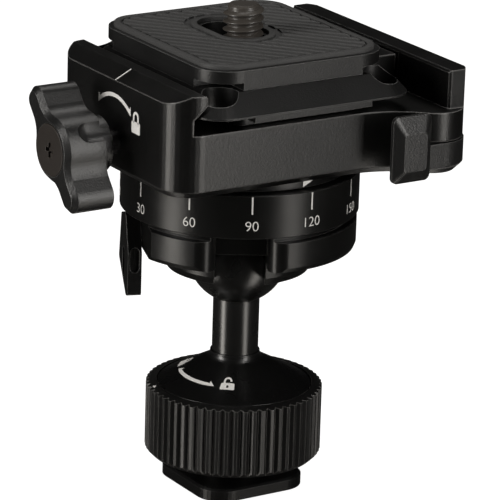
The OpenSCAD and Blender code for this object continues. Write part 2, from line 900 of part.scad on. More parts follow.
module release_lever() {
    inner = arm_out - arm_t;
    color("#262627") difference() {
        union() {
            translate([0, 0, lever_z]) linear_extrude(lever_h) {
                hull() {
                    translate([pivot_x, pivot_y]) circle(hub_r, $fn = hull_fn);
                    translate([inner, web_end]) square([arm_t, web_l]);
                }
                translate([inner, -end_c]) square([arm_t, end_c + web_end + web_l]);
                difference() {
                    translate([end_x, -end_c]) circle(arm_bend);
                    translate([end_x, -end_c]) circle(arm_bend - arm_t);
                    translate([0, -end_c]) square(past);
                    translate([end_x - past, -past]) square(past);
                }
                translate([tab_x0 + tab_w - over, -arm_front])
                    square([end_x - tab_x0 - tab_w + over + e, arm_t]);
                translate([tab_x0 + tab_w - over, -tab_back - e]) square([over, tab_back - arm_front + arm_t]);
            }
            translate([tab_x0 + tab_w / 2, -tab_back, tab_z + tab_h / 2]) rotate([90, 0, 0]) finger_tab();
        }
        translate([pivot_x, pivot_y, 0]) post(pivot_r + run_fit, 0, past);
        translate([cam_x, cam_y, 0]) post(cam_r + press_fit, cam_pin_z - end_play, past);
    }
}

module lever_pivot_pin() {
    color("#8a8a8d") translate([pivot_x, pivot_y, 0]) post(pivot_r, pivot_z, pivot_top);
}

module cam_pin() {
    color("#8a8a8d") translate([cam_x, cam_y, 0]) post(cam_r, cam_pin_z, ear_top - gap);
}

// Plate

module strap_holes() {
    for (x = [-1, 1], y = [-1, 1])
        translate([x * strap_x, y * strap_y, 0]) children();
}

module plate_body() {
    color("#141415") translate([plate_x, 0, 0]) difference() {
        union() {
            translate([0, 0, plate_z]) linear_extrude(flange_z - plate_z + e) rounded(keel_w, keel_l, 2);
            translate([0, 0, flange_z]) linear_extrude(slope_z - flange_z) {
                square([tongue_w, plate_l - 2 * tongue_in], center = true);
                square([plate_w, side_l], center = true);
            }
            hull() {
                translate([0, 0, slope_z - rim_t]) linear_extrude(rim_t)
                    rounded(plate_w, plate_l, plate_r, $fn = hull_fn);
                translate([0, 0, block_z - e]) linear_extrude(e)
                    rounded(plate_w - 2 * slope_h, plate_l - 2 * slope_h, 2, $fn = hull_fn);
            }
            translate([0, 0, block_z - 0.1]) linear_extrude(slab_z - block_z + 0.2) {
                square([2 * cross_x, slab_l], center = true);
                square([slab_w, 2 * cross_y], center = true);
            }
            translate([0, 0, slab_z]) linear_extrude(slab_t) rounded(slab_w, slab_l, slab_r);
        }
        round_slot(slot_half, 0, screw_slide, 0, past);
        round_slot(head_slot, 0, screw_slide, 0, shoulder_z);
        strap_holes() post(strap_r, 0, slab_z - gap);
    }
}

module rubber_pad() {
    color("#2c2c2d") translate([plate_x, 0, 0]) difference() {
        translate([0, 0, slab_top]) linear_extrude(pad_t)
            rounded(slab_w - 2 * pad_edge, slab_l - 2 * pad_edge, slab_r - pad_edge);
        round_slot(slot_half + pad_in, 0, screw_slide, 0, past);
    }
}

module screw_clip() {
    color("#77777a") translate([plate_x, 0, 0]) difference() {
        post(head_r, shoulder_z - clip_t - end_play, shoulder_z - end_play);
        post(screw_neck_r + run_fit, 0, past);
    }
}

module camera_screw() {
    top = pad_top + screw_out;
    point = 0.6;
    head_top = shoulder_z - clip_t - 2 * end_play;
    head_h = 2.2;
    coin_w = 1.2;
    coin_deep = 1;
    color("#2f2a26") translate([plate_x, 0, 0]) difference() {
        union() {
            post(screw_neck_r, head_top - over, pad_top + e);
            post(cam_screw_r, pad_top, top - point);
            translate([0, 0, top - point - e]) cylinder(r1 = cam_screw_r, r2 = cam_screw_r - point, h = point);
            post(head_r, head_top - head_h, head_top);
        }
        translate([-head_r - over, -coin_w / 2, head_top - head_h - over])
            cube([2 * (head_r + over), coin_w, over + coin_deep]);
    }
}

shoe_foot();
foot_screw();
pressure_washer();
clamp_collar();
base_cap();
ball_stem();
pressure_shoe();
retaining_ring();
socket_housing();
scale_ring();
lock_lever();
lock_screw();
ball_brake_pad();
pan_washer();
pan_spindle();
spindle_washer();
spindle_screw();
pan_turret();
turret_screws();
clamp_body();
pan_brake_pad();
pan_lock_screw();
pan_knob();
knob_cap_screw();
movable_jaw();
jaw_guide_pins();
release_lever();
lever_pivot_pin();
cam_pin();
plate_body();
rubber_pad();
screw_clip();
camera_screw();
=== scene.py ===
import math

import bpy
from mathutils import Matrix, Vector


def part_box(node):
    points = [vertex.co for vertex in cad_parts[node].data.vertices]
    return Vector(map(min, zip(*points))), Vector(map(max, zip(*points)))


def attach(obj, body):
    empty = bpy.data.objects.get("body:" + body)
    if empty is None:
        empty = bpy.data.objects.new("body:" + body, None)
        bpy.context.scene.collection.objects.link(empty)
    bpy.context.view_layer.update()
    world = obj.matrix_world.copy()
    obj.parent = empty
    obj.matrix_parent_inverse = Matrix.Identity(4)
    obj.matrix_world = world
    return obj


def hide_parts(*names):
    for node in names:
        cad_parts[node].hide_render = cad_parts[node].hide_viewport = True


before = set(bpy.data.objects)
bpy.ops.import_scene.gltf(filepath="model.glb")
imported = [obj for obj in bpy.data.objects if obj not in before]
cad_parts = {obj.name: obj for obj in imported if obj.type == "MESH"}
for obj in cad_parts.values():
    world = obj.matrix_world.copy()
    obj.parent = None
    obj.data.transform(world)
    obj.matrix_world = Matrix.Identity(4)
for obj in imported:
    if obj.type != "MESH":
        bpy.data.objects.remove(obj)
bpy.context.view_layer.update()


# Shoe foot, its screw and the pressure washer
# The foot is milled from aluminium, blasted and anodised black, and slides into an accessory shoe.
# A flat-head screw ties it to the cap, and the collar pushes the steel washer down on the shoe.

mm = 0.001


def black_finish(name, tone, edge_highlight, roughness, specular=0.5, grain=5200, bite=0.02, edge=0.16):
    """A dark blasted finish: fine grain, patches of gloss, and a painted highlight that turns the
    edges paler, in the second colour.
    """
    patch_scale, gloss_swing = 160, 0.06
    highlight_start, highlight_full = 0.94, 0.76
    grain_strength = 0.35
    finish = bpy.data.materials.new(name)
    finish.use_nodes = True
    nodes = finish.node_tree.nodes
    link = finish.node_tree.links.new
    shader = nodes["Principled BSDF"]
    shader.inputs["Specular IOR Level"].default_value = specular
    place = nodes.new("ShaderNodeTexCoord")
    grains = nodes.new("ShaderNodeTexNoise")
    grains.inputs["Scale"].default_value = grain
    grains.inputs["Detail"].default_value = 3
    patches = nodes.new("ShaderNodeTexNoise")
    patches.inputs["Scale"].default_value = patch_scale
    gloss = nodes.new("ShaderNodeMapRange")
    gloss.inputs["To Min"].default_value = roughness - gloss_swing
    gloss.inputs["To Max"].default_value = roughness + gloss_swing
    rounding = nodes.new("ShaderNodeBevel")
    rounding.samples = 6
    rounding.inputs["Radius"].default_value = edge * mm
    surface = nodes.new("ShaderNodeNewGeometry")
    facing = nodes.new("ShaderNodeVectorMath")
    facing.operation = "DOT_PRODUCT"
    # Painted highlight: at the edges, where the rounded normal turns away from the face's own
    # normal, the colour runs from the tone to the paler highlight colour.
    edge_highlight_mask = nodes.new("ShaderNodeMapRange")
    edge_highlight_mask.inputs["From Min"].default_value = highlight_start
    edge_highlight_mask.inputs["From Max"].default_value = highlight_full
    colours = nodes.new("ShaderNodeValToRGB")
    colours.color_ramp.elements[0].color = (*tone, 1)
    colours.color_ramp.elements[1].color = (*edge_highlight, 1)
    bump = nodes.new("ShaderNodeBump")
    bump.inputs["Strength"].default_value = grain_strength
    bump.inputs["Distance"].default_value = bite * mm
    link(place.outputs["Object"], grains.inputs["Vector"])
    link(place.outputs["Object"], patches.inputs["Vector"])
    link(patches.outputs["Fac"], gloss.inputs["Value"])
    link(gloss.outputs["Result"], shader.inputs["Roughness"])
    link(rounding.outputs["Normal"], facing.inputs[0])
    link(surface.outputs["Normal"], facing.inputs[1])
    link(facing.outputs["Value"], edge_highlight_mask.inputs["Value"])
    link(edge_highlight_mask.outputs["Result"], colours.inputs["Fac"])
    link(colours.outputs["Color"], shader.inputs["Base Color"])
    link(rounding.outputs["Normal"], bump.inputs["Normal"])
    link(grains.outputs["Fac"], bump.inputs["Height"])
    link(bump.outputs["Normal"], shader.inputs["Normal"])
    return finish


def turned_metal(name, tone, roughness):
    """Plain turned metal, with fine marks that vary its tone and its gloss."""
    mark_scale, mark_shade, gloss_swing = 2600, 0.8, 0.07
    finish = bpy.data.materials.new(name)
    finish.use_nodes = True
    nodes = finish.node_tree.nodes
    link = finish.node_tree.links.new
    shader = nodes["Principled BSDF"]
    shader.inputs["Metallic"].default_value = 1
    place = nodes.new("ShaderNodeTexCoord")
    marks = nodes.new("ShaderNodeTexNoise")
    marks.inputs["Scale"].default_value = mark_scale
    tones = nodes.new("ShaderNodeValToRGB")
    tones.color_ramp.elements[0].color = (*[mark_shade * part for part in tone], 1)
    tones.color_ramp.elements[1].color = (*tone, 1)
    gloss = nodes.new("ShaderNodeMapRange")
    gloss.inputs["To Min"].default_value = roughness - gloss_swing
    gloss.inputs["To Max"].default_value = roughness + gloss_swing
    link(place.outputs["Object"], marks.inputs["Vector"])
    link(marks.outputs["Fac"], tones.inputs["Fac"])
    link(marks.outputs["Fac"], gloss.inputs["Value"])
    link(tones.outputs["Color"], shader.inputs["Base Color"])
    link(gloss.outputs["Result"], shader.inputs["Roughness"])
    return finish


def finish_nodes(material, *names):
    """Gives CAD pieces their material."""
    for name in names:
        node_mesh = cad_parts[name].data
        node_mesh.materials.clear()
        node_mesh.materials.append(material)


# The second colour of each black finish is its painted edge highlight.
blasted = black_finish("blasted_black", (0.003, 0.003, 0.003), (0.06, 0.06, 0.06), 0.4,
                       specular=0.22)
steel = turned_metal("turned_steel", (0.48, 0.48, 0.49), 0.3)
finish_nodes(blasted, "shoe_foot")
finish_nodes(steel, "foot_screw", "pressure_washer")


# Lock collar
# A turned aluminium nut with sixty straight teeth, anodised black, which runs on the foot's stud.
# A small white mark, printed on its sloping top edge, meets the lock signs of the cap.

collar_black = black_finish("collar_black", (0.004, 0.0039, 0.0038), (0.2, 0.195, 0.185), 0.4,
                            edge=0.14)
finish_nodes(collar_black, "clamp_collar")

paint = bpy.data.materials.new("white_print")
paint.use_nodes = True
paint_nodes = paint.node_tree.nodes
paint_link = paint.node_tree.links.new
paint_shader = paint_nodes["Principled BSDF"]
paint_shader.inputs["Roughness"].default_value = 0.55
paint_place = paint_nodes.new("ShaderNodeTexCoord")
paint_cloud = paint_nodes.new("ShaderNodeTexNoise")
paint_cloud.inputs["Scale"].default_value = 3000
paint_tones = paint_nodes.new("ShaderNodeValToRGB")
paint_tones.color_ramp.elements[0].color = (0.62, 0.61, 0.59, 1)
paint_tones.color_ramp.elements[1].color = (0.82, 0.81, 0.79, 1)
paint_link(paint_place.outputs["Object"], paint_cloud.inputs["Vector"])
paint_link(paint_cloud.outputs["Fac"], paint_tones.inputs["Fac"])
paint_link(paint_tones.outputs["Color"], paint_shader.inputs["Base Color"])

ink = 0.02 * mm
crown_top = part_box("clamp_collar")[1].z
crown_in = 12.9 * mm
crown_fall = 0.4 / 1.2
mark_r = 13.2 * mm
mark_turn = math.radians(166)
mark_half_w = 0.45 * mm
mark_half_h = 0.24 * mm


def hold(piece, *others):
    """Selects pieces and nothing else, and makes the first one active."""
    bpy.ops.object.select_all(action="DESELECT")
    for chosen in (piece, *others):
        chosen.select_set(True)
    bpy.context.view_layer.objects.active = piece


def made_mesh(sign):
    """Turns a flat curve or text into a mesh."""
    hold(sign)
    bpy.ops.object.convert(target="MESH")
    return bpy.context.object


def flat_sign(name, *outlines):
    """A printed sign lying flat: filled outlines, with inner ones as holes, as thick as the ink."""
    drawing = bpy.data.curves.new(name, "CURVE")
    drawing.dimensions = "2D"
    drawing.fill_mode = "BOTH"
    drawing.extrude = ink
    for outline in outlines:
        line = drawing.splines.new("POLY")
        line.points.add(len(outline) - 1)
        line.use_cyclic_u = True
        for point, (x, y) in zip(line.points, outline):
            point.co = (x, y, 0, 1)
    sign = bpy.data.objects.new(name, drawing)
    bpy.context.collection.objects.link(sign)
    return made_mesh(sign)


def lay_sign(sign, place, body):
    """Wraps a flat sign on its surface, paints it and lets it ride on a body."""
    for corner in sign.data.vertices:
        corner.co = place(*corner.co)
    sign.data.materials.clear()
    sign.data.materials.append(paint)
    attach(sign, body)


def about_axis(reach, turn, height):
    """A point at a distance from the head's axis, a plan angle and a height."""
    return Vector((reach * math.cos(turn), reach * math.sin(turn), height))


def on_crown(x, y, z):
    """Place on the sloping top edge of the collar."""
    reach = mark_r - y
    height = crown_top - (reach - crown_in) * crown_fall + z + ink
    return about_axis(reach, mark_turn + x / mark_r, height)


mark = [(-mark_half_w, -mark_half_h), (mark_half_w, -mark_half_h), (0, mark_half_h)]
lay_sign(flat_sign("collar_mark", mark), on_crown, "collar")


# Cone cap and its lock signs
# The cap is turned and polished before anodising, and stays still on the foot as the collar turns.
# Its signs are screen printed in white: a closed lock, a double arrow and an open lock.

cap_black = black_finish("cap_black", (0.0035, 0.0035, 0.0035), (0.03, 0.03, 0.03), 0.28,
                         bite=0.008)
finish_nodes(cap_black, "base_cap")
cap_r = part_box("base_cap")[1].x
cone_base = Vector((cap_r, 16.65 * mm))
cone_top = Vector((4.3 * mm, 20.9 * mm))
cone_slope = (cone_top - cone_base).normalized()
cone_normal = Vector((cone_slope.y, -cone_slope.x))


def arc_points(radius, start, stop, steps=24, centre=(0, 0)):
    """Points along an arc, angles in degrees."""
    angles = [math.radians(start + (stop - start) * i / steps) for i in range(steps + 1)]
    return [(centre[0] + radius * math.cos(a), centre[1] + radius * math.sin(a)) for a in angles]


def rounded_box(width, height, corner, centre=(0, 0)):
    """Outline of a box with round corners."""
    corner_steps = 5
    points = []
    for turn, (sx, sy) in enumerate([(1, 1), (-1, 1), (-1, -1), (1, -1)]):
        middle = (centre[0] + sx * (width / 2 - corner), centre[1] + sy * (height / 2 - corner))
        points += arc_points(corner, 90 * turn, 90 * turn + 90, corner_steps, middle)
    return points


def padlock(width, body_h, shackle_h, wire, opened):
    """Outlines of a padlock sign. An open one has a keyhole, and one leg of its shackle is free."""
    bow_steps = 14
    half = 0.34 * width
    body_corner = 0.1 * width
    leg_gap = 0.1 * shackle_h
    hole_w, hole_h, hole_corner = 0.16 * width, 0.4 * body_h, 0.05 * width
    foot = body_h / 2 - wire / 2
    lift = body_h / 2 + shackle_h - half
    leg = lift - leg_gap if opened else foot
    outer = arc_points(half, 180, 0, bow_steps, (0, lift))
    inner = arc_points(half - wire, 0, 180, bow_steps, (0, lift))
    shackle = [(-half, foot), *outer, (half, leg), (half - wire, leg), *inner, (wire - half, foot)]
    outlines = [rounded_box(width, body_h, body_corner), shackle]
    if opened:
        outlines.append(rounded_box(hole_w, hole_h, hole_corner)[::-1])
    return outlines


def arc_arrow(radius, width, start, stop, head, barb):
    """Outline of an arc with a half barb at each end, outside it or, if negative, inside it."""
    tip_share = 0.2
    inner, outer = radius - width / 2, radius + width / 2
    near, far = (inner, outer) if barb > 0 else (outer, inner)
    tips = arc_points(near + tip_share * (far - near), start, stop, 1)
    barbs = arc_points(far + barb, start + head, stop - head, 1)
    return [tips[0], *arc_points(near, start + head, stop - head), tips[1], barbs[1],
            *arc_points(far, stop - head, start + head), barbs[0]]


def on_cone(plan, rise):
    """Place on the cap's cone: plan angle of the sign's middle, and how far up the slope it is."""
    def place(x, y, z):
        along = cone_base + cone_slope * (rise + y) + cone_normal * (z + ink)
        turn = math.radians(plan) + x / (cone_base.x + cone_slope.x * rise)
        return about_axis(along.x, turn, along.y)
    return place


def on_cone_ring(x, y, z):
    """Place on the cone for a sign drawn round the axis, as seen from above."""
    rise = (cone_base.x - math.hypot(x, y)) / -cone_slope.x
    along = cone_base + cone_slope * rise + cone_normal * (z + ink)
    return about_axis(along.x, math.atan2(y, x), along.y)


open_lock = padlock(width=2.2 * mm, body_h=1.4 * mm, shackle_h=1.25 * mm, wire=0.34 * mm,
                    opened=True)
lay_sign(flat_sign("cap_open_lock", *open_lock), on_cone(plan=231, rise=4.0 * mm), "base")
shut_lock = padlock(width=2.2 * mm, body_h=1.5 * mm, shackle_h=1.25 * mm, wire=0.36 * mm,
                    opened=False)
lay_sign(flat_sign("cap_shut_lock", *shut_lock), on_cone(plan=136, rise=4.2 * mm), "base")

arrow_rise = 3.95 * mm
arrow_r = cone_base.x + cone_slope.x * arrow_rise
cap_arrow = arc_arrow(arrow_r, width=0.52 * mm, start=152, stop=217, head=6, barb=-0.42 * mm)
lay_sign(flat_sign("cap_arrow", cap_arrow), on_cone_ring, "base")


# Ball and stem
# One turned bar of hard aluminium, polished and anodised, so that the ball slides in its socket.
# The lower end of the stem stands in the bore of the cap.

polished = black_finish("polished_black", (0.0035, 0.0035, 0.0033), (0.02, 0.02, 0.02), 0.28,
                        specular=0.8, bite=0.004, edge=0.1)
finish_nodes(polished, "ball_stem")


# Ball socket
# A turned housing with a slot that lets the stem drop level, and a ring screwed in from below.
# Inside, a slippery plastic shoe lies on top of the ball.

turned_black = black_finish("turned_black", (0.002, 0.002, 0.0019), (0.2, 0.196, 0.19), 0.32,
                            specular=0.36, bite=0.03, edge=0.12)
slippery = black_finish("slide_plastic", (0.66, 0.65, 0.61), (0.72, 0.71, 0.67), 0.45)
finish_nodes(turned_black, "retaining_ring", "socket_housing")
finish_nodes(slippery, "pressure_shoe")


# Ball lock paddle, its screw and its pad
# A small moulded lever that turns the radial steel screw of the ball lock, behind a brass pad.
# Its plastic is fine grained, with an oval recess on the face and a slot in the front edge.

paddle_black = black_finish("paddle_plastic", (0.003, 0.003, 0.003), (0.2, 0.198, 0.195), 0.36,
                            specular=0.25, grain=3600, bite=0.1)
brass = turned_metal("turned_brass", (0.62, 0.46, 0.21), 0.28)
finish_nodes(paddle_black, "lock_lever")
finish_nodes(steel, "lock_screw")
finish_nodes(brass, "ball_brake_pad")


# Scale ring with its printed degrees
# A turned ring round the housing, anodised satin black.
# Ticks and numbers are screen printed in white every thirty degrees, and count to the right.

finish_nodes(turned_black, "scale_ring")
ring_low, ring_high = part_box("scale_ring")
ring_r = ring_high.x
scale_step = 30
scale_zero = 154
tick_w = 0.24 * mm
tick_l = 2.75 * mm
tick_corner = 0.02 * mm
tick_z = ring_high.z - 0.2 * mm - tick_l / 2
digit_h = 1.62 * mm
digit_size = digit_h * 1.38
digit_thinning = 0.025 * mm
digit_z = ring_low.z + 2.05 * mm


def on_ring(degrees, height):
    """Place on the scale ring, at a plan angle and a height."""
    def place(x, y, z):
        return about_axis(ring_r + z + ink, math.radians(degrees) + x / ring_r, height + y)
    return place


for reading in range(0, 360, scale_step):
    turn = reading + scale_zero
    tick = flat_sign(f"tick_{reading}", rounded_box(tick_w, tick_l, tick_corner))
    lay_sign(tick, on_ring(turn, tick_z), "housing")
    bpy.ops.object.text_add()
    number = bpy.context.object
    number.name = f"number_{reading}"
    number.data.body = str(reading)
    number.data.align_x = "CENTER"
    number.data.align_y = "CENTER"
    number.data.size = digit_size
    number.data.extrude = ink
    number.data.offset = -digit_thinning
    lay_sign(made_mesh(number), on_ring(turn, digit_z), "housing")


# Turret, spindle and pointer
# A turned boss held under the clamp by three screws. It pans on a steel spindle and a slide washer.
# A white triangle, printed on its edge, points down at the scale.

finish_nodes(turned_black, "pan_turret")
finish_nodes(slippery, "pan_washer")
finish_nodes(steel, "pan_spindle", "spindle_washer", "spindle_screw", "turret_screws")
turret_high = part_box("pan_turret")[1]
turret_r = turret_high.x
pointer_w = 1.9 * mm
pointer_h = 0.9 * mm
pointer_top = turret_high.z - 0.02 * mm
pointer_turn = math.radians(271.6)


def on_turret(x, y, z):
    """Place on the turret's edge, hung from the clamp, with the pointer's tip at the front."""
    return about_axis(turret_r + z + ink, pointer_turn + x / turret_r, pointer_top + y)


pointer = flat_sign("turret_pointer", [(0, -pointer_h), (pointer_w, 0), (0, 0)])
lay_sign(pointer, on_turret, "clamp")


# Clamp, its sliding jaw and its pins
# The body is milled from one block and anodised satin black, with the fixed jaw at the left.
# The sliding jaw runs on two steel pins in the right wall.

satin = black_finish("satin_black", (0.0018, 0.0018, 0.0017), (0.25, 0.245, 0.24), 0.34,
                     grain=3600, bite=0.08, edge=0.42)
finish_nodes(satin, "clamp_body", "movable_jaw")
finish_nodes(steel, "jaw_guide_pins")
side_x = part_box("clamp_body")[0].x
shaft_low, shaft_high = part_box("pan_lock_screw")
knob_z = (shaft_low.z + shaft_high.z) / 2
side_lock_x = 6.5 * mm
side_lock_y = 3.75 * mm
jaw_edge = Vector((-20.1 * mm, 70.5 * mm))
jaw_side = Vector((side_x, 69.05 * mm))
jaw_slope = (jaw_edge - jaw_side).normalized()
slope_l = (jaw_edge - jaw_side).length
index_w = 0.26 * mm
index_l = slope_l - 0.2 * mm
index_corner = 0.03 * mm


def on_left_side(x, y, z):
    """Place on the clamp's left side, drawn round the knob's axis as it is seen from the left."""
    return Vector((side_x - z - ink, -x, knob_z + y))


def on_jaw_slope(x, y, z):
    """Place on the sloping top of the left jaw, from its outer edge inwards."""
    along = jaw_side + jaw_slope * y
    return Vector((along.x - jaw_slope.y * (z + ink), x, along.y + jaw_slope.x * (z + ink)))


knob_arrow = arc_arrow(7.3 * mm, width=0.62 * mm, start=46, stop=134, head=8, barb=0.62 * mm)
lay_sign(flat_sign("knob_arrow", knob_arrow), on_left_side, "clamp")
side_lock = padlock(width=2.5 * mm, body_h=1.85 * mm, shackle_h=1.6 * mm, wire=0.42 * mm,
                    opened=False)
side_lock = [[(x + side_lock_x, y + side_lock_y) for x, y in outline] for outline in side_lock]
lay_sign(flat_sign("knob_shut_lock", *side_lock), on_left_side, "clamp")
index = flat_sign("jaw_index", rounded_box(index_w, index_l, index_corner, (0, slope_l / 2)))
lay_sign(index, on_jaw_slope, "clamp")


# Release lever and its pins
# A moulded arm that lies in the clamp's right wall and ends in a finger tab at the front.
# It swings on a steel pin, and a second pin off its axis draws the sliding jaw back.

grained = black_finish("grained_plastic", (0.006, 0.006, 0.006), (0.2, 0.198, 0.195), 0.36,
                       specular=0.6, grain=3600, bite=0.12, edge=0.16)
finish_nodes(grained, "release_lever")
finish_nodes(steel, "lever_pivot_pin", "cam_pin")


# Pan knob, its shaft and its screw
# A moulded wing knob with soft grain and a bevelled rim, fixed to its shaft by a dark disc screw.
# The steel shaft is threaded into the clamp, and pushes a brass pad on the spindle.

bronze = black_finish("dark_bronze", (0.021, 0.017, 0.0145), (0.09, 0.075, 0.06), 0.38,
                      specular=0.7, bite=0.006)
finish_nodes(grained, "pan_knob")
finish_nodes(bronze, "knob_cap_screw")
finish_nodes(steel, "pan_lock_screw")
finish_nodes(brass, "pan_brake_pad")


# Camera plate and its clip
# Milled aluminium with dovetail flanges on all four sides, anodised satin black.
# A steel clip keeps the camera screw from falling out.

plate_black = black_finish("plate_black", (0.003, 0.003, 0.003), (0.3, 0.3, 0.295), 0.42,
                           specular=0.45, grain=3600, bite=0.08, edge=0.12)
finish_nodes(plate_black, "plate_body")
finish_nodes(steel, "screw_clip")


# Rubber pad
# A moulded pad glued on the plate: a smooth raised rim, slanting ribs and a collar round the slot.
# Cameras sit on it, so the rubber is matt, with a fine grain.

rubber = black_finish("pad_rubber", (0.042, 0.042, 0.042), (0.065, 0.065, 0.065), 0.6,
                      specular=0.4, grain=2600)
pad_low, pad_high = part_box("rubber_pad")
pad_mid = (pad_low + pad_high) / 2
pad_w = pad_high.x - pad_low.x
pad_l = pad_high.y - pad_low.y
pad_corner = 4.7 * mm
pad_floor = pad_low.z + 0.3 * mm
top_round = 0.2 * mm
rim_w = 1.15 * mm
slot_r = 4.075 * mm
slot_run = 6 * mm
collar_w = 1.05 * mm
moat_w = 0.95 * mm
rib_pitch = 1.85 * mm
rib_w = 1.3 * mm
rib_l = 1.6 * pad_l
rib_top = pad_high.z - 0.06 * mm
rib_turn = math.radians(50)
rib_gap = 0.25 * mm
rib_reach = 0.36 * (pad_w + pad_l)
sink = 0.05 * mm
past = 1 * mm
weld = 0.001 * mm
crease = math.radians(35)


def start_piece(name):
    """Names a new primitive and opens it for editing, with all of it selected."""
    piece = bpy.context.object
    piece.name = name
    bpy.ops.object.mode_set(mode="EDIT")
    bpy.ops.mesh.select_mode(type="VERT")
    bpy.ops.mesh.select_all(action="SELECT")
    return piece


def close_piece():
    """Points all faces of the open piece outwards, and ends its editing."""
    bpy.ops.mesh.select_all(action="SELECT")
    bpy.ops.mesh.normals_make_consistent(inside=False)
    bpy.ops.object.mode_set(mode="OBJECT")


def rounded_block(name, width, length, corner, middle, low, high):
    """A flat block with round corners: a plane, its corners bevelled, drawn up to its height."""
    corner_steps = 12
    bpy.ops.object.select_all(action="DESELECT")
    bpy.ops.mesh.primitive_plane_add(size=1)
    block = start_piece(name)
    bpy.ops.transform.resize(value=(width, length, 1))
    bpy.ops.transform.translate(value=(middle[0], middle[1], low))
    bpy.ops.mesh.bevel(offset=corner, segments=corner_steps, affect="VERTICES", clamp_overlap=False)
    bpy.ops.mesh.remove_doubles(threshold=weld)
    bpy.ops.mesh.select_all(action="SELECT")
    bpy.ops.mesh.extrude_region_move(TRANSFORM_OT_translate={"value": (0, 0, high - low)})
    close_piece()
    return block


def soften_top(piece, height, steps=3):
    """Rounds the edges that lie at a height."""
    near = 0.01 * mm
    hold(piece)
    bpy.ops.object.mode_set(mode="EDIT")
    bpy.ops.mesh.select_mode(type="EDGE")
    bpy.ops.mesh.select_all(action="DESELECT")
    bpy.ops.object.mode_set(mode="OBJECT")
    corners = piece.data.vertices
    for line in piece.data.edges:
        line.select = all(abs(corners[i].co.z - height) < near for i in line.vertices)
    bpy.ops.object.mode_set(mode="EDIT")
    bpy.ops.mesh.bevel(offset=top_round, segments=steps)
    bpy.ops.object.mode_set(mode="OBJECT")


def carve(piece, tool, way):
    """Joins, cuts or trims a piece with another, which is used up."""
    knife = piece.modifiers.new("carve", "BOOLEAN")
    knife.operation = way
    knife.solver = "EXACT"
    knife.object = tool
    hold(piece)
    bpy.ops.object.modifier_apply(modifier=knife.name)
    bpy.data.objects.remove(tool)


def slot_block(name, widen, low, high):
    """A block in the form of the slot, wider by an amount."""
    half = slot_r + widen
    nearly_half = 0.9999 * half
    middle = (pad_mid.x, slot_run / 2)
    return rounded_block(name, 2 * half, 2 * half + slot_run, nearly_half, middle, low, high)


pad = rounded_block("ribbed_pad", pad_w, pad_l, pad_corner, pad_mid, pad_low.z, pad_high.z)
field_w = pad_w - 2 * rim_w
field_l = pad_l - 2 * rim_w
field_corner = pad_corner - rim_w
field = rounded_block("pad_field", field_w, field_l, field_corner, pad_mid,
                      pad_floor, pad_high.z + past)
carve(pad, field, "DIFFERENCE")
soften_top(pad, pad_high.z)
slot_collar = slot_block("slot_collar", collar_w, pad_low.z + sink, pad_high.z)
soften_top(slot_collar, pad_high.z)
carve(pad, slot_collar, "UNION")
carve(pad, slot_block("slot_hole", 0, pad_low.z - past, pad_high.z + past), "DIFFERENCE")

rib_count = 2 * math.ceil(rib_reach / rib_pitch) + 1
rib_h = rib_top - pad_floor + sink
bpy.ops.object.select_all(action="DESELECT")
bpy.ops.mesh.primitive_cube_add(size=1)
ribs = start_piece("pad_ribs")
bpy.ops.transform.resize(value=(rib_l, rib_w, rib_h))
bpy.ops.transform.translate(value=(0, -rib_pitch * (rib_count - 1) / 2, 0))
bpy.ops.object.mode_set(mode="OBJECT")
soften_top(ribs, rib_h / 2, steps=2)
row = ribs.modifiers.new("row", "ARRAY")
row.count = rib_count
row.use_relative_offset = False
row.use_constant_offset = True
row.constant_offset_displace = (0, rib_pitch, 0)
bpy.ops.object.modifier_apply(modifier=row.name)
rib_place = Matrix.Translation((pad_mid.x, pad_mid.y, rib_top - rib_h / 2))
ribs.data.transform(rib_place @ Matrix.Rotation(-rib_turn, 4, "Z"))
rib_bounds = rounded_block("rib_bounds", field_w - 2 * rib_gap, field_l - 2 * rib_gap,
                           field_corner - rib_gap, pad_mid, pad_low.z - past, pad_high.z + past)
moat = slot_block("slot_moat", collar_w + moat_w, pad_low.z - 2 * past, pad_high.z + 2 * past)
carve(rib_bounds, moat, "DIFFERENCE")
carve(ribs, rib_bounds, "INTERSECT")

hold(pad, ribs)
bpy.ops.object.join()
bpy.ops.object.shade_smooth_by_angle(angle=crease)
pad.data.materials.clear()
pad.data.materials.append(rubber)
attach(pad, "plate")
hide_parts("rubber_pad")


# Camera screw
# A steel screw with a quarter inch thread, twenty turns to the inch, blackened in oil.
# A coin turns it from below, and its neck lets it slide along the plate's slot.

oiled = black_finish("oiled_steel", (0.05, 0.044, 0.038), (0.12, 0.105, 0.09), 0.36,
                     specular=0.75, bite=0.006, edge=0.05)
bolt_low, bolt_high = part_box("camera_screw")
bolt_x = (bolt_low.x + bolt_high.x) / 2
thread_r = 3.175 * mm
root_r = 2.45 * mm
sunk_r = root_r - 0.1 * mm
thread_pitch = 1.27 * mm
thread_turns = 4
thread_steps = 48
thread_start = math.radians(60)
thread_z = 72.4 * mm
thread_top = bolt_high.z
thread_point = 0.3 * mm
thread_end = 0.12 * mm
crest_cut = 0.04 * mm
crest_half = 0.04 * mm
shoulder_half = 0.1 * mm
ridge_half = 0.547 * mm
neck_r = 2.6 * mm
neck_step = 0.15 * mm
bolt_head_r = bolt_high.x - bolt_x
bolt_head_z = 69.1 * mm
head_low_edge = 0.25 * mm
head_top_edge = 0.2 * mm
coin_l = 3 * bolt_head_r
coin_w = 1.2 * mm
coin_h = 2 * mm


